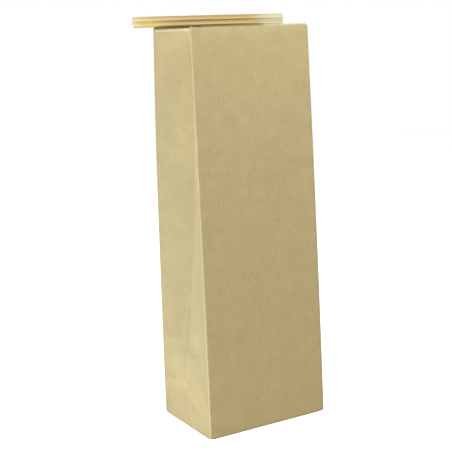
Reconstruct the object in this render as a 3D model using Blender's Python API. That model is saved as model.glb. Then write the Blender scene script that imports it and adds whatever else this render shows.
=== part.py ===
"""A tall kraft paper bag with side gussets, a folded flat bottom and a two-wire closing tie.

Metres, +Z up. The origin is on the floor, under the middle of the bottom. The front panel
faces -Y, the back panel with its lip faces +Y, and the gussets fold in from -X and +X.
"""

import math

import bmesh
import bpy
from mathutils import Vector

# The bag's outer sizes
BAG_WIDTH = 0.108            # across the front panel, at the bottom
MOUTH_WIDTH = 0.104          # across the front panel, at the mouth
BASE_DEPTH = 0.0766          # front to back at the bottom, and the gusset's own width of paper
MOUTH_DEPTH = 0.062          # front to back at the mouth, where the gussets draw in
MOUTH_HEIGHT = 0.3157        # floor to the cut edge of the front and the gussets
LIP_HEIGHT = 0.0090          # how far the back panel stands above that edge
TAPER_POWER = 1.53           # above 1, the panels bow outwards on their way up

# The paper and its folds
SHEET = 0.00025              # one layer of paper
PLEAT_START = 0.060          # height where the gusset's centre crease begins to draw in
PLEAT_INSET = 0.0228          # how far that crease is drawn in at the mouth
PLEAT_POWER = 0.60
PLEAT_BOW = 0.0008           # each half of the pleat bellies out by this much
TUCK_DIP = 0.0008            # dent where the bottom's diagonal creases meet on the gusset
TUCK_END = 0.068             # height where that dent has faded out
TUCK_HEIGHT = BASE_DEPTH / 2  # the 45 degree creases meet at half the gusset's width

# The lengthwise glued seam, down the back panel
SEAM_X = 0.006               # the outer layer's edge
SEAM_EDGE = 0.0003           # width of the step at that edge
SEAM_LAP = 0.012             # width of the overlap
SEAM_EASE = 0.012            # width over which the panel comes level again

# The bottom's flaps, glued over each other under the base
FLAP_OVERLAP = 0.006         # how far each flap runs past the middle
FLAP_SETBACK = 0.0004        # from the bag's bottom folds
FLAP_BITE = 0.0001           # how far a flap is merged into the layer above it
BASE_HEIGHT = 2 * SHEET      # underside of the base sheet, above the two flaps

# The zigzag cut along the mouth and the flaps
TOOTH_PITCH = 0.0024
TOOTH_DEPTH = 0.0011
TOP_STRIP = 0.008            # plain paper between the last full row and the cut edge

# The closing tie
TIE_LENGTH = 0.1387
TIE_HEIGHT = 0.0085
TIE_TOP = MOUTH_HEIGHT + 0.0098
TIE_EDGE = 0.00045           # thickness at the ribbon's edges and between its ribs
TIE_CREST = 0.0017           # thickness at the crest of a rib
TIE_CORNER = 0.0018          # radius of the ribbon's corners
RIB_POWER = 1.3
RIB_OFFSET = TIE_HEIGHT / 4  # from the ribbon's middle to the crest of a rib
WIRE_RADIUS = 0.0004
WIRE_GAP = 0.0001            # around each wire, in its bore
ADHESIVE_LENGTH = 0.100
ADHESIVE_HEIGHT = 0.0065
ADHESIVE_THICKNESS = 0.0002
LAYER_GAP = 0.0001           # between the lip, the adhesive and the ribbon

PANEL_COLUMNS = 4            # across the front panel
PROFILE_STEPS = 24           # along the ribbon's ribbed face
CORNER_STEPS = 5             # in each rounded corner
WIRE_SIDES = 12
ROW_HEIGHTS = (BASE_HEIGHT, TUCK_HEIGHT / 2, TUCK_HEIGHT, TUCK_END, 0.095, 0.130, 0.170, 0.210,
               0.250, 0.285, MOUTH_HEIGHT - TOP_STRIP)
GUSSET_STATIONS = (0.0, 0.25, 0.5, 0.75, 1.0)


# ---------------------------------------------------------------- scene and materials

def clear_scene():
    """Remove every object of the startup scene."""
    for item in list(bpy.data.objects):
        bpy.data.objects.remove(item, do_unlink=True)


def linear(hex_colour):
    """Turn an sRGB colour, written as six hex digits, into a linear RGBA tuple."""
    channels = [int(hex_colour[i:i + 2], 16) / 255 for i in (0, 2, 4)]
    curve = [c / 12.92 if c <= 0.04045 else ((c + 0.055) / 1.055) ** 2.4 for c in channels]
    return (*curve, 1.0)


def material(name, hex_colour, roughness, metallic=0.0):
    """Make a Principled material."""
    made = bpy.data.materials.new(name)
    made.use_nodes = True
    shader = made.node_tree.nodes["Principled BSDF"]
    shader.inputs["Base Color"].default_value = linear(hex_colour)
    shader.inputs["Roughness"].default_value = roughness
    shader.inputs["Metallic"].default_value = metallic
    return made


def object_from(bm, name, finish=None, parent=None, location=(0, 0, 0)):
    """Turn a bmesh into a linked object."""
    bmesh.ops.remove_doubles(bm, verts=bm.verts, dist=1e-6)
    mesh = bpy.data.meshes.new(name)
    bm.to_mesh(mesh)
    bm.free()
    made = bpy.data.objects.new(name, mesh)
    bpy.context.collection.objects.link(made)
    made.parent = parent
    made.location = location
    if finish:
        mesh.materials.append(finish)
    return made


def boolean(target, operand, operation):
    """Join, cut or trim an object with another, which is kept as a hidden guide."""
    modifier = target.modifiers.new(operand.name, "BOOLEAN")
    modifier.object = operand
    modifier.operation = operation
    modifier.solver = "EXACT"
    operand.hide_render = True
    operand.display_type = "WIRE"


# ---------------------------------------------------------------- the bag's section at a height

def depth_at(z):
    """Front to back across the bag."""
    rise = min(z / MOUTH_HEIGHT, 1.0)
    return BASE_DEPTH - (BASE_DEPTH - MOUTH_DEPTH) * rise ** TAPER_POWER


def width_at(z):
    """Across the bag, between its gusset folds."""
    return BAG_WIDTH - (BAG_WIDTH - MOUTH_WIDTH) * min(z / MOUTH_HEIGHT, 1.0)


def tuck_at(z, toward_crease):
    """Dent left by the bottom's diagonal creases; toward_crease is 0 at a fold and 1 at the crease."""
    if z <= TUCK_HEIGHT:
        return TUCK_DIP * min(z / TUCK_HEIGHT, toward_crease)
    fade = max(0.0, 1 - (z - TUCK_HEIGHT) / (TUCK_END - TUCK_HEIGHT))
    return TUCK_DIP * fade * toward_crease


def pleat_at(z, toward_crease):
    """How far the pleated gusset is drawn in, less the bow of each half."""
    rise = max(0.0, (z - PLEAT_START) / (MOUTH_HEIGHT - PLEAT_START)) ** PLEAT_POWER
    bow = 4 * toward_crease * (1 - toward_crease)
    return rise * (PLEAT_INSET * toward_crease - PLEAT_BOW * bow)


def gusset(z, side):
    """Points across a gusset from its front fold to its back fold; side is -1 or +1."""
    points = []
    for station in GUSSET_STATIONS:
        toward_crease = 1 - abs(2 * station - 1)
        inset = max(tuck_at(z, toward_crease), pleat_at(z, toward_crease))
        x = side * (width_at(z) / 2 - inset)
        points.append(Vector((x, (station - 0.5) * depth_at(z), z)))
    return points


def front_panel(z):
    """Points across the front panel, from left to right."""
    half = width_at(z) / 2
    steps = [2 * i / PANEL_COLUMNS - 1 for i in range(PANEL_COLUMNS + 1)]
    return [Vector((half * step, -depth_at(z) / 2, z)) for step in steps]


def back_panel(z, height, seam=True):
    """Points across the back panel from right to left, shaped as at z and placed at a height."""
    half = width_at(z) / 2
    level = depth_at(z) / 2
    sunk = level - (SHEET if seam else 0)
    outline = [(half, level), (SEAM_X, level), (SEAM_X - SEAM_EDGE, sunk), (SEAM_X - SEAM_LAP, sunk),
               (SEAM_X - SEAM_LAP - SEAM_EASE, level), (-half, level)]
    return [Vector((x, y, height)) for x, y in outline]


# ---------------------------------------------------------------- strips of paper

def travelled(points):
    """Length along a line of points, at each of them."""
    lengths = [0.0]
    for before, after in zip(points, points[1:]):
        lengths.append(lengths[-1] + (after - before).length)
    return lengths


def zigzag(points):
    """Cut a line of points into teeth of equal width, with a tip at each end."""
    lengths = travelled(points)
    teeth = max(1, round(lengths[-1] / TOOTH_PITCH))
    cut = []
    for index in range(2 * teeth + 1):
        wanted = lengths[-1] * index / (2 * teeth)
        run = max(i for i in range(len(points) - 1) if lengths[i] <= wanted + 1e-9)
        share = (wanted - lengths[run]) / (lengths[run + 1] - lengths[run])
        drop = TOOTH_DEPTH if index % 2 else 0.0
        cut.append(points[run].lerp(points[run + 1], share) - Vector((0, 0, drop)))
    return cut


def panel_strip(bm, lower, upper):
    """Quads between two lines with the same number of points, outward on the right-hand side."""
    rows = [[bm.verts.new(point) for point in line] for line in (lower, upper)]
    for i in range(len(lower) - 1):
        bm.faces.new((rows[0][i], rows[0][i + 1], rows[1][i + 1], rows[1][i]))


def gusset_strip(bm, lower, upper):
    """Triangles between two gusset lines, whose diagonals rise towards the centre crease."""
    low, high = [[bm.verts.new(point) for point in line] for line in (lower, upper)]
    for i in range(len(low) - 1):
        if i < len(low) // 2:
            bm.faces.new((low[i], low[i + 1], high[i + 1]))
            bm.faces.new((low[i], high[i + 1], high[i]))
        else:
            bm.faces.new((low[i], low[i + 1], high[i]))
            bm.faces.new((low[i + 1], high[i + 1], high[i]))


def toothed_strip(bm, lower, upper):
    """Triangles between a plain line below and a line with many more points above it."""
    low, high = [[bm.verts.new(point) for point in line] for line in (lower, upper)]
    low_run, high_run = travelled(lower), travelled(upper)
    i = j = 0
    while i < len(low) - 1 or j < len(high) - 1:
        next_low = low_run[i + 1] / low_run[-1] if i < len(low) - 1 else math.inf
        next_high = high_run[j + 1] / high_run[-1] if j < len(high) - 1 else math.inf
        if next_low < next_high:
            bm.faces.new((low[i], low[i + 1], high[j]))
            i += 1
        else:
            bm.faces.new((low[i], high[j + 1], high[j]))
            j += 1


# ---------------------------------------------------------------- the paper bag

def build_walls(bm):
    """The four panels, row by row from the bottom folds to the plain strip under the mouth."""
    for low, high in zip(ROW_HEIGHTS, ROW_HEIGHTS[1:]):
        panel_strip(bm, front_panel(low), front_panel(high))
        panel_strip(bm, back_panel(low, low), back_panel(high, high))
        gusset_strip(bm, gusset(low, 1), gusset(high, 1))
        gusset_strip(bm, gusset(low, -1)[::-1], gusset(high, -1)[::-1])


def build_mouth(bm):
    """The zigzag cut edge of the front and the gussets, and the back panel's lip."""
    below = ROW_HEIGHTS[-1]
    toothed_strip(bm, front_panel(below), zigzag(front_panel(MOUTH_HEIGHT)))
    for side in (1, -1):
        lower = gusset(below, side)[::side]
        upper = gusset(MOUTH_HEIGHT, side)[::side]
        middle = len(lower) // 2
        for half in (slice(0, middle + 1), slice(middle, None)):
            toothed_strip(bm, lower[half], zigzag(upper[half]))
    panel_strip(bm, back_panel(below, below), back_panel(MOUTH_HEIGHT, MOUTH_HEIGHT))
    lip = back_panel(MOUTH_HEIGHT, MOUTH_HEIGHT + LIP_HEIGHT, seam=False)
    toothed_strip(bm, back_panel(MOUTH_HEIGHT, MOUTH_HEIGHT), zigzag([lip[0], lip[-1]]))


def build_base(bm):
    """The sheet that closes the bottom, from fold to fold."""
    outline = front_panel(BASE_HEIGHT)[:-1] + gusset(BASE_HEIGHT, 1)[:-1]
    outline += back_panel(BASE_HEIGHT, BASE_HEIGHT)[:-1] + gusset(BASE_HEIGHT, -1)[:0:-1]
    bm.faces.new([bm.verts.new(point) for point in reversed(outline)])


def build_flap(name, side, low, high):
    """One flap under the base: side is -1 for the front flap and +1 for the back flap."""
    half_width = BAG_WIDTH / 2 - FLAP_SETBACK
    hinge = BASE_DEPTH / 2 - FLAP_SETBACK
    waist = half_width - hinge
    ear = waist + FLAP_OVERLAP
    teeth = round(2 * ear / TOOTH_PITCH)
    outline = [(-half_width, hinge), (-waist, 0.0)]
    for index in range(2 * teeth + 1):
        reach = FLAP_OVERLAP - (TOOTH_DEPTH if index % 2 else 0.0)
        outline.append((ear * (index / teeth - 1), -reach))
    outline += [(waist, 0.0), (half_width, hinge)]
    bm = bmesh.new()
    face = bm.faces.new([bm.verts.new((x, side * y, low)) for x, y in outline])
    bmesh.ops.recalc_face_normals(bm, faces=[face])
    raised = bmesh.ops.extrude_face_region(bm, geom=[face])["geom"]
    top = [item for item in raised if isinstance(item, bmesh.types.BMVert)]
    bmesh.ops.translate(bm, verts=top, vec=(0, 0, high - low))
    bmesh.ops.recalc_face_normals(bm, faces=bm.faces)
    return object_from(bm, name)


def build_bag():
    """One folded and glued sheet, open at the mouth."""
    bm = bmesh.new()
    build_walls(bm)
    build_mouth(bm)
    build_base(bm)
    bag = object_from(bm, "paper_bag", material("kraft_paper", "C6B488", 0.85))
    sheet = bag.modifiers.new("sheet", "SOLIDIFY")
    sheet.thickness = SHEET
    sheet.offset = -1.0
    sheet.use_even_offset = True
    front_flap = build_flap("front_flap", -1, SHEET, BASE_HEIGHT + FLAP_BITE)
    back_flap = build_flap("back_flap", 1, 0.0, BASE_HEIGHT + FLAP_BITE)
    boolean(bag, front_flap, "UNION")
    boolean(bag, back_flap, "UNION")


# ---------------------------------------------------------------- the closing tie

def rib_profile():
    """The ribbon's closed section as (y, z): a flat back at y = 0 and two ribs in front."""
    face = []
    for index in range(PROFILE_STEPS + 1):
        z = TIE_HEIGHT * (index / PROFILE_STEPS - 0.5)
        bump = max(0.0, math.sin(math.pi * abs(2 * z / TIE_HEIGHT)))
        thickness = TIE_EDGE + (TIE_CREST - TIE_EDGE) * bump ** RIB_POWER
        face.append((-thickness, z))
    return [(0.0, -TIE_HEIGHT / 2)] + face + [(0.0, TIE_HEIGHT / 2)]


def extrude_outline(points, vector):
    """A closed prism on a flat outline."""
    bm = bmesh.new()
    face = bm.faces.new([bm.verts.new(point) for point in points])
    raised = bmesh.ops.extrude_face_region(bm, geom=[face])["geom"]
    moved = [item for item in raised if isinstance(item, bmesh.types.BMVert)]
    bmesh.ops.translate(bm, verts=moved, vec=vector)
    bmesh.ops.recalc_face_normals(bm, faces=bm.faces)
    return bm


def rounded_outline(length, height, radius, y):
    """A rectangle with rounded corners, in the plane of the ribbon."""
    points = []
    for quarter, (sx, sz) in enumerate(((1, 1), (-1, 1), (-1, -1), (1, -1))):
        centre = (sx * (length / 2 - radius), sz * (height / 2 - radius))
        for step in range(CORNER_STEPS + 1):
            angle = math.radians(90 * (quarter + step / CORNER_STEPS))
            points.append((centre[0] + radius * math.cos(angle), y, centre[1] + radius * math.sin(angle)))
    return points


def rod(name, radius, length, finish, parent, location):
    """A round rod along X."""
    ring = [math.tau * i / WIRE_SIDES for i in range(WIRE_SIDES)]
    outline = [(-length / 2, radius * math.cos(angle), radius * math.sin(angle)) for angle in ring]
    return object_from(extrude_outline(outline, (length, 0, 0)), name, finish, parent, location)


def build_tie():
    """The ribbon with its two wires, held to the lip's inner face by a strip of adhesive."""
    lip_inner = MOUTH_DEPTH / 2 - SHEET
    adhesive_back = lip_inner - SHEET - LAYER_GAP
    ribbon_back = adhesive_back - ADHESIVE_THICKNESS - LAYER_GAP
    tie = bpy.data.objects.new("tie", None)
    bpy.context.collection.objects.link(tie)
    tie.location = (0, ribbon_back, TIE_TOP - TIE_HEIGHT / 2)

    section = [(-TIE_LENGTH / 2, y, z) for y, z in rib_profile()]
    plastic = material("tan_plastic", "C9B26F", 0.35)
    ribbon = object_from(extrude_outline(section, (TIE_LENGTH, 0, 0)), "tie_ribbon", plastic, tie)
    outline = rounded_outline(TIE_LENGTH, TIE_HEIGHT, TIE_CORNER, -2 * TIE_CREST)
    punch = object_from(extrude_outline(outline, (0, 3 * TIE_CREST, 0)), "corner_punch", None, tie)
    boolean(ribbon, punch, "INTERSECT")

    steel = material("soft_steel", "8C8C88", 0.4, 1.0)
    for name, side in (("upper_wire", 1), ("lower_wire", -1)):
        seat = (0, -TIE_CREST / 2, side * RIB_OFFSET)
        bore = rod(name + "_bore", WIRE_RADIUS + WIRE_GAP, 1.1 * TIE_LENGTH, None, tie, seat)
        boolean(ribbon, bore, "DIFFERENCE")
        rod(name, WIRE_RADIUS, TIE_LENGTH, steel, tie, seat)

    glue = material("clear_adhesive", "D8CDA8", 0.5)
    size = (ADHESIVE_LENGTH, ADHESIVE_THICKNESS, ADHESIVE_HEIGHT)
    bm = bmesh.new()
    bmesh.ops.create_cube(bm, size=1.0)
    bmesh.ops.scale(bm, vec=size, verts=bm.verts)
    seat = (0, LAYER_GAP + ADHESIVE_THICKNESS / 2, 0)
    object_from(bm, "tie_adhesive", glue, tie, seat)


def main():
    """Build the bag and its tie."""
    clear_scene()
    build_bag()
    build_tie()


main()
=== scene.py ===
"""A tall kraft paper bag with side gussets and a two-wire closing tie, dressed for its final look.

The bag is modelled as one sheet: a box of paper is opened at the top, its folds are rounded, its mouth
is cut into teeth, its back is raised into a lip, and then the whole sheet is drawn in by its pleats.
Units are metres, +Z is up, the front panel faces -Y and the back panel with the tie faces +Y.
"""

from __future__ import annotations

import logging
import math
from collections.abc import Callable, Iterator
from contextlib import contextmanager
from dataclasses import dataclass, field
from enum import Enum

import bpy
import numpy as np
from mathutils import Matrix, Vector, noise


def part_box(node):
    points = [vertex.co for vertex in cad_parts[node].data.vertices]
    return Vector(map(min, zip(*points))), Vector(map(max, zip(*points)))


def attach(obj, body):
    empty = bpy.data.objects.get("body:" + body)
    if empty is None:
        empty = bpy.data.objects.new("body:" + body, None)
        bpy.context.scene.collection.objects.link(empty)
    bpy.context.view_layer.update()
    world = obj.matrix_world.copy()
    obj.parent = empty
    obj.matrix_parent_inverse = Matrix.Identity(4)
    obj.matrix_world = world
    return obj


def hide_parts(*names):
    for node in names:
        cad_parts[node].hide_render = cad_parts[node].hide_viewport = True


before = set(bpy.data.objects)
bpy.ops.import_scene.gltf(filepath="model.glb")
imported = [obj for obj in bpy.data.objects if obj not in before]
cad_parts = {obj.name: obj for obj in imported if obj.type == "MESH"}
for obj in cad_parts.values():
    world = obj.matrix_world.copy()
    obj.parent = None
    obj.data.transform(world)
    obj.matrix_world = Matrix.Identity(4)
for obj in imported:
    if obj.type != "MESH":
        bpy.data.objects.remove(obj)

LOG = logging.getLogger("paper_bag")
MM = 0.001
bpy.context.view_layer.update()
NEAR = 1e-5     # a point this near a plane lies on it, in metres
HAIR = 1e-6     # the same, for points that are placed exactly
LONG = 0.01     # an edge longer than this runs along a panel


# ------------------------------------------------------------------ selecting and shaping, as by hand

class Kind(Enum):
    """The kinds of mesh element that can be picked."""

    VERTEX = (True, False, False)
    EDGE = (False, True, False)
    FACE = (False, False, True)


Array = np.ndarray
Item = bpy.types.Object
Point = tuple[float, float, float]
Pair = tuple[float, float]
Test = Callable[[Array, Array], Array]


def ramp(values: Array, start: float, length: float) -> Array:
    """A share that grows evenly from 0 at the start to 1 over a length."""
    return np.clip((values - start) / length, 0.0, 1.0)


def fade(distance: Array, spread: float) -> Array:
    """A share that falls off softly from 1 as the distance grows."""
    return np.exp(-(distance / spread) ** 2)


def coordinates(item: Item) -> Array:
    """Read a mesh's points.

    Args:
        item: A mesh object.

    Returns:
        One row of x, y and z for each point.
    """
    points = np.empty(len(item.data.vertices) * 3)
    item.data.vertices.foreach_get("co", points)
    return points.reshape(-1, 3)


def set_coordinates(item: Item, points: Array) -> None:
    """Move a mesh's points to new rows of x, y and z."""
    item.data.vertices.foreach_set("co", points.ravel())
    item.data.update()


def pick(item: Item, kind: Kind, test: Test) -> None:
    """Select the elements of a mesh that pass a test, and nothing else.

    Args:
        item: A mesh object, in object mode.
        kind: What to select.
        test: Takes the elements' centres and, for edges, how far each one reaches along the axes, or
            for faces their normals, and says which to select.
    """
    mesh = item.data
    points = coordinates(item)
    if kind is Kind.VERTEX:
        centres, spans = points, np.zeros_like(points)
    elif kind is Kind.EDGE:
        ends = np.empty(len(mesh.edges) * 2, dtype=np.int32)
        mesh.edges.foreach_get("vertices", ends)
        first, second = points[ends[0::2]], points[ends[1::2]]
        centres, spans = (first + second) / 2, np.abs(second - first)
    else:
        centres = np.empty(len(mesh.polygons) * 3)
        spans = np.empty(len(mesh.polygons) * 3)
        mesh.polygons.foreach_get("center", centres)
        mesh.polygons.foreach_get("normal", spans)
        centres, spans = centres.reshape(-1, 3), spans.reshape(-1, 3)
    chosen = test(centres, spans)
    for elements in (mesh.vertices, mesh.edges, mesh.polygons):
        elements.foreach_set("select", np.zeros(len(elements), dtype=bool))
    picked = {Kind.VERTEX: mesh.vertices, Kind.EDGE: mesh.edges, Kind.FACE: mesh.polygons}[kind]
    picked.foreach_set("select", chosen)
    bpy.context.tool_settings.mesh_select_mode = kind.value


def activate(item: Item) -> None:
    """Select one object, and nothing else.

    Args:
        item: The object.
    """
    bpy.ops.object.select_all(action="DESELECT")
    item.select_set(True)
    bpy.context.view_layer.objects.active = item


@contextmanager
def edit_mode(item: Item) -> Iterator[None]:
    """Work on one mesh in edit mode.

    Args:
        item: The object to edit.
    """
    activate(item)
    bpy.ops.object.mode_set(mode="EDIT")
    yield
    bpy.ops.object.mode_set(mode="OBJECT")


def along(axis: int, shortest: float = 0.002) -> Test:
    """A test for the edges that run along one axis.

    Args:
        axis: 0, 1 or 2.
        shortest: Edges shorter than this are left out.

    Returns:
        The test.
    """
    def test(centres: Array, spans: Array) -> Array:
        """True where an edge reaches along the axis and hardly along the others."""
        others = np.delete(spans, axis, axis=1).max(axis=1)
        return (spans[:, axis] > shortest) & (others < HAIR)

    return test


def divide(item: Item, axis: int, cuts: int) -> None:
    """Cut every edge that runs along an axis into equal lengths.

    Args:
        item: The object to edit.
        axis: 0, 1 or 2.
        cuts: How many cuts each edge gets.
    """
    pick(item, Kind.EDGE, along(axis))
    with edit_mode(item):
        bpy.ops.mesh.subdivide(number_cuts=cuts)


def raise_edges(item: Item, test: Test, height: float) -> None:
    """Extrude some edges straight up.

    Args:
        item: The object to edit.
        test: Which edges.
        height: How far.
    """
    pick(item, Kind.EDGE, test)
    with edit_mode(item):
        bpy.ops.mesh.extrude_region_move(TRANSFORM_OT_translate={"value": (0.0, 0.0, height)})


def shift(item: Item, test: Test, offset: Point) -> None:
    """Move some points of a mesh.

    Args:
        item: The object to edit.
        test: Which points.
        offset: How far along each axis.
    """
    pick(item, Kind.VERTEX, test)
    with edit_mode(item):
        bpy.ops.transform.translate(value=offset)


def apply_modifier(item: Item, kind: str, **settings: object) -> None:
    """Add one modifier and apply it.

    Args:
        item: A mesh object.
        kind: The modifier's type.
        **settings: Its properties.
    """
    modifier = item.modifiers.new(kind.lower(), kind)
    for name, value in settings.items():
        setattr(modifier, name, value)
    activate(item)
    bpy.ops.object.modifier_apply(modifier=modifier.name)


def place_in_mesh(item: Item, name: str) -> Item:
    """Name an object and move its place, turn and size into its mesh.

    Args:
        item: The object to finish.
        name: Its name from now on.

    Returns:
        The same object.
    """
    item.name = item.data.name = name
    activate(item)
    bpy.ops.object.transform_apply(location=True, rotation=True, scale=True)
    return item


def new_box(centre: Point, size: Point) -> Item:
    """Add a box whose mesh already holds its place and size.

    Args:
        centre: Where its middle goes.
        size: Its lengths along the axes.

    Returns:
        The new object.
    """
    bpy.ops.object.select_all(action="DESELECT")
    bpy.ops.mesh.primitive_cube_add(size=1.0, location=centre, scale=size)
    return place_in_mesh(bpy.context.object, "blank")


def new_sheet(centre: Point, size: Pair) -> Item:
    """Add a flat level rectangle whose mesh already holds its place and size.

    Args:
        centre: Where its middle goes.
        size: Its lengths along X and Y.

    Returns:
        The new object.
    """
    bpy.ops.object.select_all(action="DESELECT")
    bpy.ops.mesh.primitive_plane_add(size=1.0, location=centre)
    bpy.ops.transform.resize(value=(size[0], size[1], 1.0))
    return place_in_mesh(bpy.context.object, "blank")


def join(items: list[Item], name: str) -> Item:
    """Join several meshes into the first of them.

    Args:
        items: The objects to join.
        name: The name of the result.

    Returns:
        The joined object.
    """
    bpy.ops.object.select_all(action="DESELECT")
    for item in items:
        item.select_set(True)
    bpy.context.view_layer.objects.active = items[0]
    bpy.ops.object.join()
    items[0].name = items[0].data.name = name
    return items[0]


def write_attribute(item: Item, name: str, values: Array) -> None:
    """Write one number for each point of a mesh, for its material to read."""
    layer = item.data.attributes.new(name, "FLOAT", "POINT")
    layer.data.foreach_set("value", values)


def smooth_by_angle(item: Item, degrees: float) -> None:
    """Shade a mesh smooth where its faces meet at less than an angle.

    Args:
        item: A mesh object.
        degrees: The angle.
    """
    activate(item)
    bpy.ops.object.shade_smooth_by_angle(angle=math.radians(degrees))


# ------------------------------------------------------------------ materials

Socket = bpy.types.NodeSocket


def linear(hex_colour: str) -> tuple[float, float, float, float]:
    """Turn an sRGB colour into a linear one.

    Args:
        hex_colour: Six hex digits.

    Returns:
        Red, green, blue and an alpha of 1.
    """
    channels = [int(hex_colour[i:i + 2], 16) / 255 for i in (0, 2, 4)]
    curve = [c / 12.92 if c <= 0.04045 else ((c + 0.055) / 1.055) ** 2.4 for c in channels]
    return (curve[0], curve[1], curve[2], 1.0)


def add_node(tree: bpy.types.NodeTree, kind: str, inputs: dict[str | int, object] | None = None,
             **settings: object) -> bpy.types.Node:
    """Add a node with its settings and inputs.

    Args:
        tree: The node tree.
        kind: The node's type.
        inputs: What each input gets, by its name or number, as for feed.
        **settings: Properties of the node.

    Returns:
        The new node.
    """
    node = tree.nodes.new(kind)
    for name, value in settings.items():
        setattr(node, name, value)
    feed(tree, node, inputs or {})
    return node


def feed(tree: bpy.types.NodeTree, node: bpy.types.Node, inputs: dict[str | int, object]) -> None:
    """Set some inputs of a node.

    Args:
        tree: The node tree.
        node: The node.
        inputs: A socket to join, an sRGB hex colour or a plain value for each input.
    """
    for key, term in inputs.items():
        if isinstance(term, Socket):
            tree.links.new(term, node.inputs[key])
        else:
            node.inputs[key].default_value = linear(term) if isinstance(term, str) else term


class Recipe:
    """A material in the making."""

    def __init__(self, name: str) -> None:
        """Start with a plain shader.

        Args:
            name: The material's name.
        """
        self.material = bpy.data.materials.new(name)
        self.material.use_nodes = True
        self.tree = self.material.node_tree
        self.shader = self.tree.nodes["Principled BSDF"]

    def pattern(self, size_mm: float, scale: Point = (1.0, 1.0, 1.0),
                kind: str = "ShaderNodeTexNoise", output: str = "Fac", **inputs: float) -> Socket:
        """Lay a random pattern over the piece.

        Args:
            size_mm: How large its features are.
            scale: How much finer it is along each axis.
            kind: The texture node.
            output: The texture's output.
            **inputs: The texture's other inputs.

        Returns:
            The pattern.
        """
        place = add_node(self.tree, "ShaderNodeTexCoord").outputs["Object"]
        place = add_node(self.tree, "ShaderNodeMapping", {"Vector": place, "Scale": scale}).outputs[0]
        return add_node(self.tree, kind, {"Vector": place, "Scale": 1.0 / (size_mm * MM), **inputs}).outputs[output]

    def ranged(self, value: Socket, low: float, high: float, top: float = 1.0) -> Socket:
        """Turn a pattern into a share, from none at the low value to the top share at the high value."""
        limits = {"Value": value, "From Min": low, "From Max": high, "To Max": top}
        return add_node(self.tree, "ShaderNodeMapRange", limits).outputs[0]

    def maths(self, operation: str, *terms: Socket | float) -> Socket:
        """Add one arithmetic step, and return its result."""
        return add_node(self.tree, "ShaderNodeMath", dict(enumerate(terms)), operation=operation).outputs[0]

    def blend(self, share: Socket | float, first: Socket | str, second: Socket | str) -> Socket:
        """Mix a share of the second colour into the first, and return the mixture."""
        return add_node(self.tree, "ShaderNodeMix", {0: share, 6: first, 7: second}, data_type="RGBA").outputs[2]

    def painted(self, name: str) -> Socket:
        """Read back what write_attribute wrote under a name."""
        return add_node(self.tree, "ShaderNodeAttribute", attribute_name=name).outputs["Fac"]

    def shaded_and_toned(self, colour: Socket) -> Socket:
        """Lighten or darken a colour by the painted light and shade written at each point."""
        factor = self.maths("ADD", self.painted("tone"), 1.0)
        return add_node(self.tree, "ShaderNodeVectorMath", {0: colour, 3: factor}, operation="SCALE").outputs[0]

    def relief(self, height: Socket, strength: float, depth_mm: float) -> None:
        """Raise the surface by a pattern.

        Args:
            height: The pattern.
            strength: How much of it shows.
            depth_mm: How high it stands.
        """
        bump = add_node(self.tree, "ShaderNodeBump",
                        {"Height": height, "Strength": strength, "Distance": depth_mm * MM})
        feed(self.tree, self.shader, {"Normal": bump.outputs[0]})

    def finish(self, inputs: dict[str, object]) -> bpy.types.Material:
        """Set the shader's own inputs by name, and return the material."""
        feed(self.tree, self.shader, inputs)
        return self.material


@dataclass(frozen=True)
class KraftPaper:
    """Unbleached machine-finished kraft paper: matt, with a cloudy formation and fibres that lie upright.

    It gives the eye a warm grey-brown of uneven colour, a faint vertical grain, pale lines where a fold
    is worn, a pale fibrous edge where it was cut, and a painted highlight on the front left fold; painted
    light and shade written on the bag lighten or darken it.
    """

    body: str = "938358"
    cloud_dark: str = "8F7D56"
    cloud_light: str = "98875D"
    fleck_dark: str = "76613E"
    fleck_light: str = "A79770"
    # the pale of worn folds and cut edges, also painted on the front left fold as a highlight
    rubbed_and_highlight: str = "BCAE86"
    cloud_mm: float = 12.0         # the formation's clouds
    speckle_mm: float = 2.4        # clumps of fibre, drawn about four times their real size to show
    fibre_mm: float = 0.9          # a fibre's width, drawn twenty times its real size to show
    speckle_stretch: float = 0.6   # the clumps and the grain are drawn out upwards
    fibre_stretch: float = 0.35
    body_share: float = 0.45
    roughness: float = 0.82
    relief_strength: float = 0.22
    relief_mm: float = 0.12

    def build(self) -> bpy.types.Material:
        """Make the paper.

        Returns:
            The material.
        """
        paper = Recipe("kraft_paper")
        clouds = paper.pattern(self.cloud_mm, Detail=3.0, Roughness=0.55)
        speckle = paper.pattern(self.speckle_mm, (1.0, 1.0, self.speckle_stretch), Detail=2.0, Roughness=0.6)
        fibres = paper.pattern(self.fibre_mm, (1.0, 1.0, self.fibre_stretch), Detail=3.0, Roughness=0.7,
                               Distortion=0.6)
        colour = paper.blend(paper.ranged(clouds, 0.32, 0.68), self.cloud_dark, self.cloud_light)
        colour = paper.blend(self.body_share, colour, self.body)
        colour = paper.blend(paper.ranged(speckle, 0.46, 0.30, top=0.20), colour, self.fleck_dark)
        colour = paper.blend(paper.ranged(fibres, 0.54, 0.80, top=0.48), colour, self.fleck_light)
        # Worn folds and cut edges turn pale, and so does the painted highlight on the front left fold; then the
        # painted light and shade is laid over all.
        patchy = paper.maths("MULTIPLY", paper.painted("rub_and_highlight"), paper.maths("ADD", speckle, 0.5))
        colour = paper.shaded_and_toned(paper.blend(patchy, colour, self.rubbed_and_highlight))
        height = paper.maths("ADD", paper.maths("MULTIPLY", fibres, 0.6), paper.maths("MULTIPLY", speckle, 0.6))
        paper.relief(height, self.relief_strength, self.relief_mm)
        return paper.finish({"Base Color": colour, "Roughness": self.roughness, "Specular IOR Level": 0.3})


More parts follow.
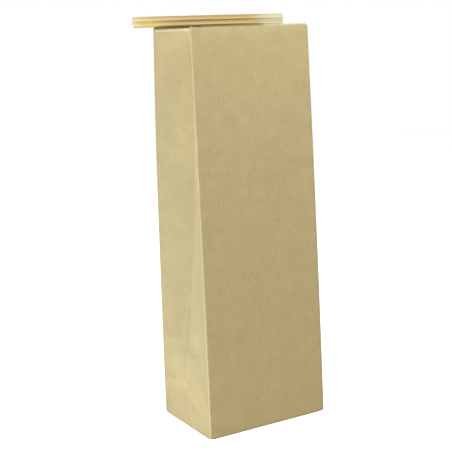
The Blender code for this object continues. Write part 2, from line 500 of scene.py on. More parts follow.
@dataclass(frozen=True)
class TieFilm:
    """Golden polyethylene film, moulded onto two wires: satin, slightly clear, with drawn streaks.

    Where it hangs free past the paper, light comes through it, and its colour there is painted paler as well.
    """

    body: str = "DEC37C"
    streak: str = "BC9E5E"
    end: str = "D6CCA4"            # painted light: the free ends are painted paler, where light comes through the film from behind
    streak_mm: float = 0.7
    streak_stretch: float = 0.02   # streaks run along the ribbon
    roughness: float = 0.34
    relief_strength: float = 0.15
    relief_mm: float = 0.08
    clear_share: float = 0.32

    def build(self) -> bpy.types.Material:
        """Make the film.

        Returns:
            The material.
        """
        film = Recipe("polyethylene_tie_film")
        streaks = film.pattern(self.streak_mm, (self.streak_stretch, 1.0, 1.0), Detail=2.0)
        colour = film.blend(film.ranged(streaks, 0.45, 0.75, top=0.5), self.body, self.streak)
        # Painted light: the free ends are painted paler, and the painted light and shade of the ribs is laid on.
        colour = film.shaded_and_toned(film.blend(film.painted("end"), colour, self.end))
        film.relief(streaks, self.relief_strength, self.relief_mm)
        through = add_node(film.tree, "ShaderNodeBsdfTranslucent", {"Color": colour})
        mixed = add_node(film.tree, "ShaderNodeMixShader",
                         {0: self.clear_share, 1: film.shader.outputs[0], 2: through.outputs[0]})
        feed(film.tree, film.tree.nodes["Material Output"], {"Surface": mixed.outputs[0]})
        return film.finish({"Base Color": colour, "Roughness": self.roughness})


@dataclass(frozen=True)
class AnnealedSteel:
    """Soft annealed steel wire: dull grey metal with fine lines along it from the drawing die."""

    bright: str = "8A8778"
    dull: str = "5F5C50"
    line_mm: float = 0.15
    line_stretch: float = 0.03
    roughness: float = 0.42

    def build(self) -> bpy.types.Material:
        """Make the wire's finish.

        Returns:
            The material.
        """
        steel = Recipe("annealed_steel_wire")
        lines = steel.pattern(self.line_mm, (self.line_stretch, 1.0, 1.0), Detail=2.0)
        colour = steel.blend(lines, self.bright, self.dull)
        return steel.finish({"Base Color": colour, "Metallic": 1.0, "Roughness": self.roughness})


@dataclass(frozen=True)
class GlueFilm:
    """Pressure-sensitive acrylic glue: a thin, slightly milky film with trapped air."""

    clear: str = "CDBD92"
    milky: str = "E4DBC0"
    bubble_mm: float = 1.8
    roughness: float = 0.3

    def build(self) -> bpy.types.Material:
        """Make the glue.

        Returns:
            The material.
        """
        glue = Recipe("acrylic_glue_film")
        bubbles = glue.pattern(self.bubble_mm, kind="ShaderNodeTexVoronoi", output="Distance")
        return glue.finish({"Base Color": glue.blend(bubbles, self.milky, self.clear), "Roughness": self.roughness})


# ------------------------------------------------------------------ marks, wear, and painted light and shade

@dataclass(frozen=True)
class Mark:
    """One soft mark of painted light or painted shade on a gusset, as a stroke from place to place; some also press
    a dent.

    Places are the distance behind the gusset's middle and the height, in millimetres.
    """

    start: Pair
    end: Pair
    spread: float                   # how wide the stroke is, in millimetres
    tone: float                     # how much painted light it adds, or painted shade below zero
    dent: float = 0.0               # how deep it is pressed, in millimetres

    def strength(self, back: Array, z: Array) -> Array:
        """How strongly the stroke touches some points.

        Args:
            back: Distances behind the gusset's middle, in metres.
            z: Heights, in metres.

        Returns:
            From 0 to 1 for each point.
        """
        first, last = np.array(self.start) * MM, np.array(self.end) * MM
        run = last - first
        offset = np.column_stack((back, z)) - first
        share = np.clip(offset @ run / max(float(run @ run), 1e-12), 0.0, 1.0)
        away = np.linalg.norm(offset - share[:, None] * run, axis=1)
        return fade(away, self.spread * MM)


# Painted light and shade on the gussets: each mark lightens or darkens the paper's colour where a fold or facet
# catches or loses the light.
GUSSET_MARKS = (
    Mark((0.0, 8.0), (0.0, 36.0), 42.0, 0.06),         # painted light on the bottom, which keeps a flatter sheet
    Mark((16.0, 36.0), (16.0, 48.0), 12.0, 0.05),
    Mark((5.0, 222.0), (5.0, 315.0), 13.0, 0.11),
    Mark((-17.0, 225.0), (-15.0, 315.0), 17.0, 0.11),       # painted light where the front half of the pleat catches the light
    Mark((0.0, 50.0), (0.0, 92.0), 2.3, -0.08, 0.15),       # painted shade along the centre fold, where the pleat begins
    Mark((0.0, 92.0), (0.0, 118.0), 2.5, -0.03, 0.10),
    Mark((13.0, 74.0), (26.0, 72.0), 6.5, -0.08),           # painted shade where the rear half falls away above the tuck
    Mark((14.0, 88.0), (20.0, 112.0), 9.0, -0.05),
    Mark((36.0, 64.5), (3.0, 67.0), 1.3, 0.06, -0.10),      # painted light and shade along the step across the rear half
    Mark((-12.0, 71.0), (-22.0, 75.0), 6.0, 0.05),
    Mark((-8.0, 61.5), (-22.0, 62.5), 1.2, -0.06, 0.10),
    Mark((38.0, 30.5), (14.0, 33.0), 0.8, 0.17, -0.12),     # painted highlight and shade along the level crease of the folded bottom
    Mark((14.0, 33.0), (0.0, 34.0), 1.0, 0.07, -0.10),
    Mark((35.0, 33.6), (18.0, 35.2), 1.3, -0.11, 0.12),
    Mark((3.0, 34.0), (3.0, 34.0), 5.0, 0.12, -0.15),       # painted light at the point where the creases meet
    Mark((34.0, 27.0), (12.0, 27.5), 3.0, 0.06),
    Mark((-2.0, 33.0), (-16.0, 25.0), 1.3, 0.10, -0.12),    # painted highlight along the front diagonal crease
    Mark((-16.0, 25.0), (-32.0, 12.0), 1.5, 0.09, -0.12),
    Mark((-26.0, 27.0), (-34.0, 22.0), 5.0, 0.04),
    Mark((6.0, 25.0), (-8.0, 18.0), 6.0, -0.03),
    Mark((5.0, 31.0), (31.0, 8.0), 2.5, -0.03, 0.06),       # painted shade along the back diagonal crease
    Mark((33.0, 6.0), (33.0, 6.0), 7.0, -0.06),
    Mark((-5.0, 22.0), (-6.0, 6.0), 2.6, 0.06),
    # painted shade along the bottom, with a pale line under it
    Mark((-34.0, 5.0), (34.0, 5.0), 2.4, -0.04),
    Mark((-34.0, 2.6), (34.0, 2.6), 0.7, 0.05),
)


@dataclass(frozen=True)
class WearAndShade:
    """How the folds and the cut edges are worn in use, with a painted highlight and painted shade on the folds and
    a painted shadow at the rim. Lengths are in metres.
    """

    front_left_rub_and_highlight: float = 0.7    # painted highlight on the front left fold, which catches the light, on top of its rubbing
    other_folds: float = 0.1
    fold_spread: float = 0.0005
    gusset_edge: float = 0.9        # the cut edges show their pale fibres
    gusset_from: float = 0.0015     # the gussets' cut edge lies this far from the front and the back
    gusset_reach: float = 0.03      # and within this of the side
    front_edge: float = 0.12
    lip_edge: float = 0.5
    lip_edge_height: float = 0.001
    edge_rows: float = 0.9          # share of the toothed row that is rubbed
    edge_above: float = 0.002       # rubbed height above the mouth
    painted_fold_shade: float = -0.10        # painted shade on the other folds, which turn from the light
    fold_shade_spread: float = 0.0014
    painted_rim_shadow: float = -0.22         # painted shadow along the rim that stands on the floor
    rim_width: float = 0.001
    rim_height: float = 0.0012
    mark_margin: float = 0.003      # the gussets' marks fade out this near a fold
    mark_from: float = 0.0006


@dataclass(frozen=True)
class MouthEdge:
    """How the front's cut edge strays from a level line. Lengths are in metres."""

    reach: float = 0.010            # how far down the paper gives way
    rise: float = 0.0006
    fold_band: float = 0.02         # share of the half depth that moves with the front
    tip_width: float = 0.0022       # the left corner turns out and up
    tip_out: float = 0.0009
    tip_up: float = 0.0006
    sag_from_left: float = 0.0055   # the edge sags beside it
    sag_width: float = 0.0035
    sag_depth: float = 0.0009
    right_width: float = 0.0020     # and the right corner droops
    right_droop: float = 0.0013


# ------------------------------------------------------------------ the paper bag

@dataclass
class PaperBag:
    """The bag: one sheet, folded and glued, open at the top.

    It is first built as a plain upright box in its flat sizes. The shaping step then draws the mouth in
    and folds the pleats, so every earlier step can pick its points by simple places.
    """

    width: float
    depth: float
    floor: float = 0.00005          # where the walls end
    base: float = 0.0005            # underside of the base sheet, above its two glued flaps
    mouth_width: float = 0.104
    mouth_depth: float = 0.062
    mouth_height: float = 0.3157
    lip_height: float = 0.0090
    taper_power: float = 1.53
    sheet: float = 0.00022
    fold_radius: float = 0.0004
    pleat_start: float = 0.060
    pleat_inset: float = 0.0228
    pleat_power: float = 0.60
    pleat_bow: float = 0.0008
    tooth_pitch: float = 0.0024
    tooth_depth: float = 0.0016
    tooth_row: float = 0.0026       # height of the row that the teeth are cut in
    rows: int = 106
    lip_rows: int = 4
    seam_x: float = 0.006
    seam_lap: float = 0.012
    seam_step: float = 0.00022
    flap_overlap: float = 0.006
    corner_lift: float = 0.0008     # how far the bottom's worn corners are off the floor
    rear_curl: float = 0.0011       # how far the rear left fold leans in at the mouth
    rear_curl_from: float = 0.2     # height at which it starts
    rear_curl_rise: float = 0.115   # height over which it grows
    rear_curl_near: Pair = (0.2, 0.6)    # shares of the half depth and half width where it starts
    rear_curl_power: float = 1.5
    hold: float = 4.0               # how steeply the waves rise from a fold
    waves: Point = (18.0, 18.0, 11.0)      # about how many to a metre
    corner_spread: float = 0.0025
    crowded: Pair = (0.5, 0.28)  # this share of the rows lies in this share of the height
    rim: float = 0.0004             # width of the rim around the raised base
    rim_slope: float = 0.001
    flap_margin: float = 0.0014     # the flaps stop this far inside the walls
    tuck_margin: float = 0.0024     # and the inner tucks this far
    tuck_lift: float = 0.0009       # how far the tucks' points stand off the base
    tuck_point: float = 0.02        # width of the tucks' points, as a share
    flap_share: float = 0.96        # share of its room that a flap fills
    gap: float = 0.00005            # gap between sheets that lie on each other
    seam_edge: float = 0.0001
    tuck_curve: float = 0.6
    front_tuck: float = 0.7         # the front half of a gusset is tucked less than the back half
    mark_rise: float = 6.0          # how steeply the pressed marks start at a fold
    buckle: float = 0.0004          # how far the panels wander from their true surface
    tuck_profile: tuple[Pair, ...] = (
        (0.0, 0.0), (0.0375, -0.0010), (0.0455, -0.0002), (0.0670, -0.0008), (0.0790, 0.0), (1.0, 0.0))
    wear_and_shade: WearAndShade = field(default_factory=WearAndShade)
    mouth_edge: MouthEdge = field(default_factory=MouthEdge)
    finish: KraftPaper = field(default_factory=KraftPaper)

    @property
    def tuck_height(self) -> float:
        """Where the bottom's diagonal creases meet on a gusset."""
        return self.depth / 2

    def build(self) -> Item:
        """Make the whole bag.

        Returns:
            The finished bag.
        """
        walls = self._blank()
        self._cut_teeth(walls)
        self._raise_lip(walls)
        self._shape(walls)
        apply_modifier(walls, "SOLIDIFY", thickness=self.sheet, offset=-1.0, use_even_offset=True)
        parts = [walls, self._flap(-1, self.base / 2), self._flap(1, 0.0)]
        parts += [self._inner_tuck(side) for side in (-1, 1)]
        bag = join(parts, "kraft_bag")
        self._paint_wear_and_light(bag)
        smooth_by_angle(bag, 32.0)
        bag.data.materials.clear()
        bag.data.materials.append(self.finish.build())
        return bag

    def _blank(self) -> Item:
        """An open box with rounded folds, divided into a fine grid.

        Returns:
            The box, without its teeth and lip.
        """
        height = self.mouth_height - self.tooth_row - self.floor
        box = new_box((0, 0, self.floor + height / 2), (self.width, self.depth, height))
        top = self.floor + height
        pick(box, Kind.FACE, lambda centres, normals: normals[:, 2] > 0.9)
        with edit_mode(box):
            bpy.ops.mesh.delete(type="FACE")
        pick(box, Kind.EDGE, lambda centres, spans: centres[:, 2] < top - NEAR)
        with edit_mode(box):
            bpy.ops.mesh.bevel(offset=self.fold_radius, segments=3, affect="EDGES")
        divide(box, 2, self.rows - 1)
        divide(box, 0, self._half_teeth(self.width) - 1)
        divide(box, 1, self._half_teeth(self.depth) - 1)
        raise_edges(box, lambda centres, spans: centres[:, 2] > top - NEAR, self.tooth_row)
        return box

    def _half_teeth(self, length: float) -> int:
        """How many half teeth fit along a panel, always an even number."""
        return 2 * round(length / self.tooth_pitch)

    def _is_valley(self, places: Array, length: float) -> Array:
        """Which points along a panel fall between two teeth.

        Args:
            places: Distances from the panel's middle.
            length: The panel's whole length.

        Returns:
            True for each valley.
        """
        span = length - 2 * self.fold_radius
        index = (places + span / 2) * self._half_teeth(length) / span
        return (np.round(index).astype(int) % 2 == 1) & (np.abs(index - np.round(index)) < 0.05)

    def _cut_teeth(self, walls: Item) -> None:
        """Lower every other point of the mouth's edge on the front and the gussets.

        Args:
            walls: The open box.
        """
        def valley(centres: Array, spans: Array) -> Array:
            """The points between the teeth.

            Args:
                centres: The points.
                spans: Not used for points.

            Returns:
                True for each of them.
            """
            at_top = centres[:, 2] > self.mouth_height - NEAR
            front = centres[:, 1] < -self.depth / 2 + NEAR
            side = np.abs(centres[:, 0]) > self.width / 2 - NEAR
            in_front = front & self._is_valley(centres[:, 0], self.width)
            on_side = side & self._is_valley(centres[:, 1], self.depth)
            return at_top & (in_front | on_side)

        shift(walls, valley, (0.0, 0.0, -self.tooth_depth))

    def _raise_lip(self, walls: Item) -> None:
        """Carry the back panel up into a lip and cut its teeth.

        Args:
            walls: The open box.
        """
        level = self.mouth_height
        step = self.lip_height / self.lip_rows
        for _ in range(self.lip_rows):
            raise_edges(walls, lambda centres, spans, level=level: (centres[:, 2] > level - NEAR)
                        & (centres[:, 1] > self.depth / 2 - NEAR), step)
            level += step
        shift(walls, lambda centres, spans: (centres[:, 2] > level - NEAR)
              & self._is_valley(centres[:, 0], self.width), (0.0, 0.0, -self.tooth_depth))

    def _shape(self, walls: Item) -> None:
        """Draw the box in to the bag's true form.

        Args:
            walls: The open box with its teeth and lip.
        """
        flat = coordinates(walls)
        flat[:, 2] = self._crowd_rows(flat[:, 2])
        width, depth = self._section(flat[:, 2])
        across = 2 * flat[:, 0] / self.width
        deep = 2 * flat[:, 1] / self.depth
        toward = np.clip(1 - np.abs(deep), 0.0, 1.0)
        shaped = np.column_stack((across * width / 2, deep * depth / 2, flat[:, 2]))
        side = np.abs(across) > 1 - 1e-4
        inset = self._pleat(flat[:, 2], toward) + self._tuck(flat[:, 2], toward, deep)
        shaped[:, 0] -= np.sign(across) * side * inset
        front = deep < -1 + 1e-4
        back = deep > 1 - 1e-4
        shaped[:, 1] += back * self._seam(flat)
        wander = self._buckle(shaped)
        shaped[:, 1] += (back * 1.0 - front * 1.0) * wander * np.clip(self.hold * (1 - np.abs(across)), 0, 1)
        shaped[:, 0] += np.sign(across) * side * wander * np.clip(self.hold * toward, 0, 1)
        self._bend_corners(shaped, across, deep, flat[:, 2])
        self._raise_base(shaped)
        self._soften_folds(shaped, across, deep, flat[:, 2])
        shaped[:, 1] = np.clip(shaped[:, 1], -self.depth / 2, self.depth / 2)
        set_coordinates(walls, shaped)

    def _section(self, z: Array) -> tuple[Array, Array]:
        """The bag's outline at some heights.

        Args:
            z: Heights.

        Returns:
            Widths and depths.
        """
        rise = np.clip(z / self.mouth_height, 0.0, 1.0)
        depth = self.depth - (self.depth - self.mouth_depth) * rise ** self.taper_power
        return self.width - (self.width - self.mouth_width) * rise, depth

    def _soften_folds(self, shaped: Array, across: Array, deep: Array, z: Array) -> None:
        """Let the rear left fold lean in towards the mouth, and lift the bottom's worn corners.

        Args:
            shaped: The shaped points, which are moved.
            across: -1 at the left fold and 1 at the right fold.
            deep: -1 at the front fold and 1 at the back fold.
            z: Heights before shaping.
        """
        behind, beside = self.rear_curl_near
        near_fold = ramp(deep, behind, 1 - behind) * ramp(-across, beside, 1 - beside)
        climb = ramp(z, self.rear_curl_from, self.rear_curl_rise) ** self.rear_curl_power
        shaped[:, 0] += self.rear_curl * near_fold * climb
        to_fold = np.hypot(self.width / 2 - np.abs(shaped[:, 0]), self.depth / 2 - np.abs(shaped[:, 1]))
        near_corner = np.exp(-(to_fold / self.corner_spread) ** 2 - (z / self.corner_spread) ** 2)
        shaped[:, 2] += self.corner_lift * near_corner

    def _crowd_rows(self, z: Array) -> Array:
        """Draw the rows of points closer together in the creased bottom.

        Args:
            z: Heights of evenly spaced rows.

        Returns:
            Their new heights, with the bottom and the mouth where they were.
        """
        top = self.mouth_height - self.tooth_row
        share = (z - self.floor) / (top - self.floor)
        rows, height = self.crowded
        crowded = self.floor + (top - self.floor) * np.interp(share, (0, rows, 1), (0, height, 1))
        return np.where(share < 1, crowded, z)

    def _raise_base(self, shaped: Array) -> None:
        """Lift the base sheet onto its flaps, inside the rim that the walls stand on.

        Args:
            shaped: The shaped points, which are moved.
        """
        inside = np.minimum(self.width / 2 - np.abs(shaped[:, 0]), self.depth / 2 - np.abs(shaped[:, 1]))
        base = (shaped[:, 2] < self.floor + HAIR) & (inside > self.rim)
        climb = ramp(inside[base], self.rim, self.rim_slope)
        shaped[base, 2] += (self.base - self.floor) * climb

    def _pleat(self, z: Array, toward: Array) -> Array:
        """How far the pleats draw a gusset in.

        Args:
            z: Heights.
            toward: 0 at a fold and 1 at the centre crease.

        Returns:
            Distances inwards.
        """
        rise = ramp(z, self.pleat_start, self.mouth_height - self.pleat_start)
        bow = 4 * toward * (1 - toward)
        return rise ** self.pleat_power * (self.pleat_inset * toward - self.pleat_bow * bow)

    def _tuck(self, z: Array, toward: Array, deep: Array) -> Array:
        """The shallow facets that the folded bottom leaves on a gusset.

        Args:
            z: Heights.
            toward: 0 at a fold and 1 at the centre crease.
            deep: -1 at the front fold and 1 at the back fold.

        Returns:
            Distances inwards.
        """
        heights, levels = zip(*self.tuck_profile)
        drawn = -np.interp(z, heights, levels)
        below = z < self.tuck_height
        facet = np.where(below, np.minimum(drawn, -levels[1] * toward), drawn * toward ** self.tuck_curve)
        pressed = sum(mark.dent * MM * mark.strength(deep * self.depth / 2, z) for mark in GUSSET_MARKS)
        facet = facet * np.where(deep > 0, 1.0, self.front_tuck)
        return facet + pressed * np.clip(self.mark_rise * toward, 0.0, 1.0)

    def _seam(self, flat: Array) -> Array:
        """How far the step and slope of the lengthwise glued seam move the flat points along +Y."""
        distances = np.array((2 * self.seam_lap, self.seam_lap, self.seam_edge, 0.0))
        return np.interp(flat[:, 0], self.seam_x - distances, (0.0, -self.seam_step, -self.seam_step, 0.0))

    def _buckle(self, points: Array) -> Array:
        """How far long soft waves of slack paper push the shaped points outwards."""
        return np.array([noise.noise(Vector(point * self.waves)) for point in points]) * 2 * self.buckle

    def _bend_corners(self, shaped: Array, across: Array, deep: Array, z: Array) -> None:
        """Turn the mouth's front corners out a little and let the edge sag beside them.

        Args:
            shaped: The shaped points, which are moved.
            across: -1 at the left fold and 1 at the right fold.
            deep: -1 at the front fold and 1 at the back fold.
            z: Heights before shaping.
        """
        edge = self.mouth_edge
        near_top = ramp(z, self.mouth_height - edge.reach, edge.reach) ** 2
        front = deep < -1 + edge.fold_band
        from_left = (across + 1) * self.width / 2
        from_right = (1 - across) * self.width / 2
        tip = fade(from_left, edge.tip_width)
        sag = fade(from_left - edge.sag_from_left, edge.sag_width)
        droop = fade(from_right, edge.right_width)
        shaped[:, 1] -= near_top * front * tip * edge.tip_out
        shaped[:, 2] += near_top * front * (edge.rise + tip * edge.tip_up - sag * edge.sag_depth)
        shaped[:, 2] -= near_top * front * droop * edge.right_droop

    def _flap(self, side: int, level: float) -> Item:
        """One of the two flaps glued over each other under the base.

        Args:
            side: -1 for the front flap and 1 for the back flap.
            level: Height of its underside.

        Returns:
            The flap.
        """
        hinge = self.depth / 2 - self.flap_margin
        waist = self.width - 2 * hinge
        length = self.width - 2 * self.flap_margin
        free = waist + 2 * self.flap_overlap
        flap = new_sheet((0, side * hinge / 2, level), (length, hinge))
        pick(flap, Kind.EDGE, lambda centres, spans: (np.abs(centres[:, 1]) < NEAR) & (spans[:, 0] > LONG))
        with edit_mode(flap):
            bpy.ops.transform.resize(value=(waist / length, 1.0, 1.0), center_override=(0.0, 0.0, level))
            bpy.ops.mesh.extrude_region_move(
                TRANSFORM_OT_translate={"value": (0.0, -side * self.flap_overlap, 0.0)})
            bpy.ops.transform.resize(value=(free / waist, 1.0, 1.0), center_override=(0.0, 0.0, level))
        edge = -side * self.flap_overlap
        pick(flap, Kind.EDGE, lambda centres, spans: (np.abs(centres[:, 1] - edge) < NEAR) & (spans[:, 0] > LONG))
        teeth = round(free / self.tooth_pitch)
        with edit_mode(flap):
            bpy.ops.mesh.subdivide(number_cuts=2 * teeth - 1)

        def valley(centres: Array, spans: Array) -> Array:
            """The points between the teeth of the flap's free edge."""
            index = np.round((centres[:, 0] / free + 0.5) * 2 * teeth).astype(int)
            return (np.abs(centres[:, 1] - edge) < NEAR) & (index % 2 == 1)

        shift(flap, valley, (0.0, side * self.tooth_depth, 0.0))
        apply_modifier(flap, "SOLIDIFY", thickness=self.base / 2 * self.flap_share, offset=1.0)
        return flap

    def _inner_tuck(self, side: int) -> Item:
        """The triangle of gusset paper folded flat on the base, inside the bag.

        Args:
            side: -1 or 1.

        Returns:
            The triangle.
        """
        level = self.base + self.sheet + self.gap
        reach = self.depth / 2 - 2 * self.flap_margin
        centre = side * (self.width / 2 - self.tuck_margin - reach / 2)
        tuck = new_sheet((centre, 0, level), (reach, 2 * reach))
        pick(tuck, Kind.EDGE, lambda centres, spans: (centres[:, 0] * side < centre * side - NEAR)
             & (spans[:, 1] > LONG))
        with edit_mode(tuck):
            bpy.ops.transform.resize(value=(1.0, self.tuck_point, 1.0))
            bpy.ops.transform.translate(value=(0.0, 0.0, self.tuck_lift))
        apply_modifier(tuck, "SOLIDIFY", thickness=self.sheet, offset=1.0)
        return tuck

    def _paint_wear_and_light(self, bag: Item) -> None:
        """Write how worn each point is, with a painted highlight on the front left fold, and the painted light and
        shade at each point.

        Args:
            bag: The joined bag.
        """
        points, wear_shade = coordinates(bag), self.wear_and_shade
        y, z = points[:, 1], points[:, 2]
        width, depth = self._section(z)
        half_depth = depth / 2
        to_side, to_face = width / 2 - np.abs(points[:, 0]), half_depth - np.abs(y)
        from_fold = np.hypot(to_side, to_face)
        front_left = (points[:, 0] < 0) & (y < 0)
        # The front left fold gets a painted highlight with its rubbing; the other folds only their rubbing.
        rub_and_highlight = np.where(front_left, wear_shade.front_left_rub_and_highlight, wear_shade.other_folds) * fade(from_fold, wear_shade.fold_spread)
        cut = (z > self.mouth_height - self.tooth_row * wear_shade.edge_rows) & (z < self.mouth_height + wear_shade.edge_above)
        on_side = cut & (to_face > wear_shade.gusset_from) & (to_side < wear_shade.gusset_reach)
        rub_and_highlight = np.maximum(rub_and_highlight, wear_shade.gusset_edge * on_side + wear_shade.front_edge * (cut & (y < 0)))
        lip = z > self.mouth_height + self.lip_height - wear_shade.lip_edge_height
        write_attribute(bag, "rub_and_highlight", np.clip(np.maximum(rub_and_highlight, wear_shade.lip_edge * lip), 0.0, 1.0))
        # Painted shade on the folds that turn from the light, and a painted shadow along the rim on the floor.
        grey = np.where(front_left, 0.0, 1.0) * fade(from_fold, wear_shade.fold_shade_spread)
        rim = (np.minimum(np.abs(to_side), np.abs(to_face)) < wear_shade.rim_width) * fade(z, wear_shade.rim_height)
        inset = self._pleat(z, np.clip(1 - np.abs(y) / half_depth, 0.0, 1.0))
        on_gusset = (np.abs(to_side - inset) < wear_shade.mark_margin) & (to_face > wear_shade.mark_from)
        # the gusset marks' painted light and shade
        marks = sum(mark.tone * mark.strength(y, z) for mark in GUSSET_MARKS)
        marks = marks * on_gusset * ramp(to_face, 0.0, wear_shade.mark_margin)
        write_attribute(bag, "tone", wear_shade.painted_fold_shade * grey + wear_shade.painted_rim_shadow * rim + marks)


# ------------------------------------------------------------------ the closing tie

@dataclass
class TieRibbon:
    """The ribbed ribbon of the closing tie, in the place of its solid."""

    low: Vector
    high: Vector
    edge: float = 0.00045
    corner: float = 0.0018
    ribs: tuple[Pair, ...] = (   # how proud the face is, from the top edge (0) to the bottom (1)
        (0.0, 0.0), (0.03, 0.12), (0.12, 0.15), (0.36, 1.0), (0.40, 0.93), (0.50, 0.25), (0.53, 0.18), (0.64, 0.22),
        (0.80, 1.0), (0.84, 0.95), (0.96, 0.25), (1.0, 0.0))
    rib_shade_and_tone: tuple[Pair, ...] = (  # painted light and shade of the ribs, with paler film over the wires, over the same heights
        (0.0, -0.36), (0.10, -0.34), (0.22, -0.24), (0.34, -0.03), (0.42, 0.12), (0.50, 0.14), (0.56, -0.10),
        (0.66, -0.20), (0.79, 0.0), (0.86, 0.06), (0.94, 0.15), (1.0, 0.10))
    wire_cover: float = 0.0005      # least radius of the film around a wire
    end_drop: float = 0.2           # share of their height that the ribs lose at the cut ends
    end_ease: float = 0.004         # length over which they ease down to it
    pale_right: Pair = (0.5, 0.3)    # where the right end's painted backlight begins and over what length, as shares
    pale_left: Pair = (0.8, 0.2)     # the same at the left end
    left_share: float = 0.6         # the left end's painted backlight is only this strong
    tone_fade: float = 0.8          # share of the painted rib shading that is lost where the end is painted pale
    sag: float = 0.0006             # how much lower the bottom edge runs at the right end
    steps: int = 64                 # points up the ribbed face
    stations: int = 48              # points along the ribbon
    finish: TieFilm = field(default_factory=TieFilm)

    def build(self) -> Item:
        """Make the ribbon.

        Returns:
            The finished ribbon.
        """
        size = self.high - self.low
        centre = (self.low + self.high) / 2
        ribbon = new_box(tuple(centre), tuple(size))
        pick(ribbon, Kind.EDGE, along(1, shortest=size.y / 2))
        with edit_mode(ribbon):
            bpy.ops.mesh.bevel(offset=self.corner, segments=6, affect="EDGES")
        planes = [((0, 0, self.low.z + size.z * index / self.steps), (0, 0, 1)) for index in range(1, self.steps)]
        planes += [((self.low.x + size.x * index / self.stations, 0, 0), (1, 0, 0))
                   for index in range(1, self.stations)]
        for place, direction in planes:
            with edit_mode(ribbon):
                bpy.ops.mesh.select_all(action="SELECT")
                bpy.ops.mesh.bisect(plane_co=place, plane_no=direction)
        self._press_ribs(ribbon, centre.z, size)
        place_in_mesh(ribbon, "tie_film_ribbon")
        smooth_by_angle(ribbon, 40.0)
        ribbon.data.materials.clear()
        ribbon.data.materials.append(self.finish.build())
        return ribbon

    def _press_ribs(self, ribbon: Item, middle: float, size: Vector) -> None:
        """Sink the front face everywhere but at the two ribs, which stay closed over the wires.

        Args:
            ribbon: The sliced slab.
            middle: Height of the ribbon's middle.
            size: The slab's size.
        """
        points = coordinates(ribbon)
        front = points[:, 1] < self.low.y + HAIR
        down = (self.high.z - points[:, 2]) / size.z
        stations, heights = zip(*self.ribs)
        from_end = size.x / 2 - np.abs(points[:, 0])
        ease = (1 - self.end_drop) + self.end_drop * ramp(from_end, 0.0, self.end_ease)
        thickness = self.edge + (size.y - self.edge) * np.interp(down, stations, heights) * ease
        for wire in (middle - size.z / 4, middle + size.z / 4):
            reach = self.wire_cover ** 2 - (points[:, 2] - wire) ** 2
            thickness = np.maximum(thickness, np.where(reach > 0, size.y / 2 + np.sqrt(np.maximum(reach, 0)), 0))
        points[front, 1] = self.high.y - thickness[front]
        points[:, 2] -= self.sag * ramp(points[:, 0], 0.0, size.x / 2) * np.clip(down, 0.0, 1.0) ** 2
        set_coordinates(ribbon, points)
        self._paint_rib_shade(ribbon, down, size.x / 2)

    def _paint_rib_shade(self, ribbon: Item, down: Array, half: float) -> None:
        """Write the painted light and shade of the ribs at each point, and the painted backlight that makes the
        ends pale.

        Args:
            ribbon: The ribbon.
            down: How far below the top edge each point is, from 0 to 1.
            half: Half the ribbon's length.
        """
        points = coordinates(ribbon)
        stations, rib_shade_and_tone = zip(*self.rib_shade_and_tone)
        right, left = (ramp(side * points[:, 0], start * half, length * half)
                       for side, (start, length) in ((1, self.pale_right), (-1, self.pale_left)))
        # painted backlight on the free ends, which also fades the painted rib shading there
        end = np.maximum(right, self.left_share * left)
        write_attribute(ribbon, "tone", np.interp(down, stations, rib_shade_and_tone) * (1 - self.tone_fade * end))
        write_attribute(ribbon, "end", end)


@dataclass(frozen=True)
class TieWire:
    """One soft wire, wholly closed in by the ribbon's film."""

    name: str
    low: Vector
    high: Vector
    inset: float = 0.0007           # how far it stops short of each end of the ribbon
    sides: int = 24

    def build(self) -> Item:
        """Make the wire.

        Returns:
            The wire, lying along X with sheared and slightly rounded ends.
        """
        size = self.high - self.low
        bpy.ops.object.select_all(action="DESELECT")
        bpy.ops.mesh.primitive_cylinder_add(
            vertices=self.sides, radius=size.z / 2, depth=size.x - 2 * self.inset,
            location=(self.low + self.high) / 2, rotation=(0, math.radians(90), 0))
        wire = place_in_mesh(bpy.context.object, self.name)
        ends = max(self.high.x, -self.low.x) - self.inset
        pick(wire, Kind.EDGE, lambda centres, spans: (np.abs(centres[:, 0]) > ends - NEAR) & (spans[:, 0] < NEAR))
        with edit_mode(wire):
            bpy.ops.mesh.bevel(offset=size.z / 8, segments=2, affect="EDGES")
        smooth_by_angle(wire, 40.0)
        return wire


# ------------------------------------------------------------------ the studio

@dataclass(frozen=True)
class Softbox:
    """A square soft light."""

    name: str
    place: Point
    aim: Point
    size: float
    watts: float
    colour: str = "FFFFFF"

    def build(self) -> None:
        """Hang the light and turn it to its aim."""
        bpy.ops.object.select_all(action="DESELECT")
        bpy.ops.object.light_add(type="AREA", location=self.place)
        light = bpy.context.object
        light.name = self.name
        light.data.size = self.size
        light.data.energy = self.watts
        light.data.color = linear(self.colour)[:3]
        direction = Vector(self.aim) - Vector(self.place)
        light.rotation_euler = direction.to_track_quat("-Z", "Y").to_euler()


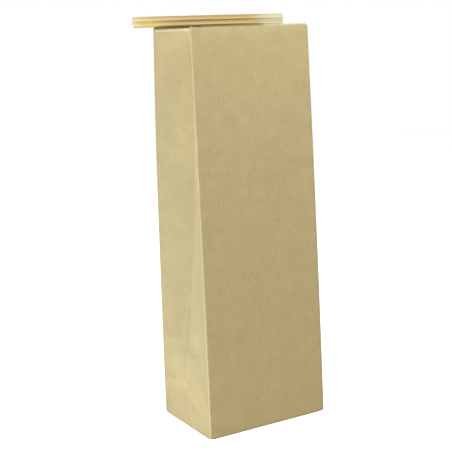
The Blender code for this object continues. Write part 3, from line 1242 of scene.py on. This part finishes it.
@dataclass(frozen=True)
class Studio:
    """A bright white floor and surroundings with soft lights at the left, overhead and in front."""

    floor_size: float = 3.4
    floor_colour: str = "F4F4F2"
    floor_glow: float = 0.60
    ambient: float = 0.35
    lens: float = 78.62
    yaw: float = 0.52243
    pitch: float = 0.18502
    roll: float = -0.04068
    eye: Point = (-0.39894, -0.67464, 0.30445)
    lights: tuple[Softbox, ...] = (
        Softbox("left_softbox", (-1.5, 0.1, 0.45), (0, 0, 0.16), 1.4, 37.5, "DCEAFF"),
        Softbox("left_rear_softbox", (-1.1, 0.9, 0.6), (0, 0, 0.16), 0.9, 8.5, "DCEAFF"),
        Softbox("mouth_softbox", (0.05, -0.32, 0.58), (0.02, -0.03, 0.28), 0.22, 2.45, "EEF4FF"),
        Softbox("top_softbox", (-0.3, -0.3, 1.6), (0, 0, 0.16), 1.0, 10.5),
    )

    def build(self) -> None:
        """Set the floor, the lights, the world and the camera."""
        self._floor()
        for light in self.lights:
            light.build()
        self._world()
        self._camera()
        bpy.context.scene.view_settings.view_transform = "Standard"

    def _floor(self) -> None:
        """A plain white floor that glows a little, as a lit acrylic sheet does."""
        floor = new_sheet((0, 0, -0.05 * MM), (self.floor_size, self.floor_size))
        floor.name = floor.data.name = "studio_floor"
        floor.data.materials.append(Recipe("lit_acrylic_floor").finish({
            "Base Color": self.floor_colour, "Roughness": 0.9,
            "Emission Color": "FFFFFF", "Emission Strength": self.floor_glow}))

    def _world(self) -> None:
        """White to the eye, dimmer as a source of light."""
        world = bpy.data.worlds.new("studio_white")
        bpy.context.scene.world = world
        world.use_nodes = True
        tree = world.node_tree
        tree.nodes.clear()
        seen = add_node(tree, "ShaderNodeBackground", {"Color": (1, 1, 1, 1), "Strength": 1.0})
        lit = add_node(tree, "ShaderNodeBackground", {"Color": (1, 1, 1, 1), "Strength": self.ambient})
        path = add_node(tree, "ShaderNodeLightPath")
        mixed = add_node(tree, "ShaderNodeMixShader",
                         {0: path.outputs["Is Camera Ray"], 1: lit.outputs[0], 2: seen.outputs[0]})
        add_node(tree, "ShaderNodeOutputWorld", {"Surface": mixed.outputs[0]})

    def _camera(self) -> None:
        """Stand the camera at the left front, just below the mouth's height."""
        forward = Vector((math.sin(self.yaw) * math.cos(self.pitch), math.cos(self.yaw) * math.cos(self.pitch),
                          -math.sin(self.pitch)))
        level = Vector((math.cos(self.yaw), -math.sin(self.yaw), 0.0))
        upright = level.cross(forward)
        right = math.cos(self.roll) * level + math.sin(self.roll) * upright
        up = right.cross(forward)
        data = bpy.data.cameras.new("camera")
        data.sensor_width = 36.0
        data.lens = self.lens
        data.clip_start = 0.01
        camera = bpy.data.objects.new("camera", data)
        bpy.context.collection.objects.link(camera)
        axes = Matrix((right, up, -forward)).transposed().to_4x4()
        camera.matrix_world = Matrix.Translation(Vector(self.eye)) @ axes
        bpy.context.scene.camera = camera


# ------------------------------------------------------------------ putting it together

def dress_node(node: str, material: bpy.types.Material) -> None:
    """Give a carried-over solid its finish.

    Args:
        node: The solid's name.
        material: Its material.
    """
    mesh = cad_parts[node].data
    if mesh.materials:
        mesh.materials[0] = material
    else:
        mesh.materials.append(material)
    LOG.info("%s keeps its solid, dressed in %s", node, material.name)


def stand_in(piece: Item, node: str) -> None:
    """Let a detailed piece take the place of a solid.

    Args:
        piece: The detailed piece.
        node: The solid that it stands for.
    """
    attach(piece, "root")
    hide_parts(node)
    LOG.info("%s stands for %s: %d faces", piece.name, node, len(piece.data.polygons))


def main() -> None:
    """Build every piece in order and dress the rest."""
    logging.basicConfig(level=logging.INFO, format="%(name)s: %(message)s")
    Studio().build()
    low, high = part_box("paper_bag")
    bag = PaperBag(width=high.x - low.x, depth=high.y - low.y).build()
    stand_in(bag, "paper_bag")
    ribbon = TieRibbon(*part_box("tie_ribbon")).build()
    stand_in(ribbon, "tie_ribbon")
    steel = AnnealedSteel().build()
    for node in ("upper_wire", "lower_wire"):
        wire = TieWire(node.replace("wire", "tie_wire"), *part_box(node)).build()
        wire.data.materials.append(steel)
        stand_in(wire, node)
    dress_node("tie_adhesive", GlueFilm().build())


if __name__ == "__main__":
    main()
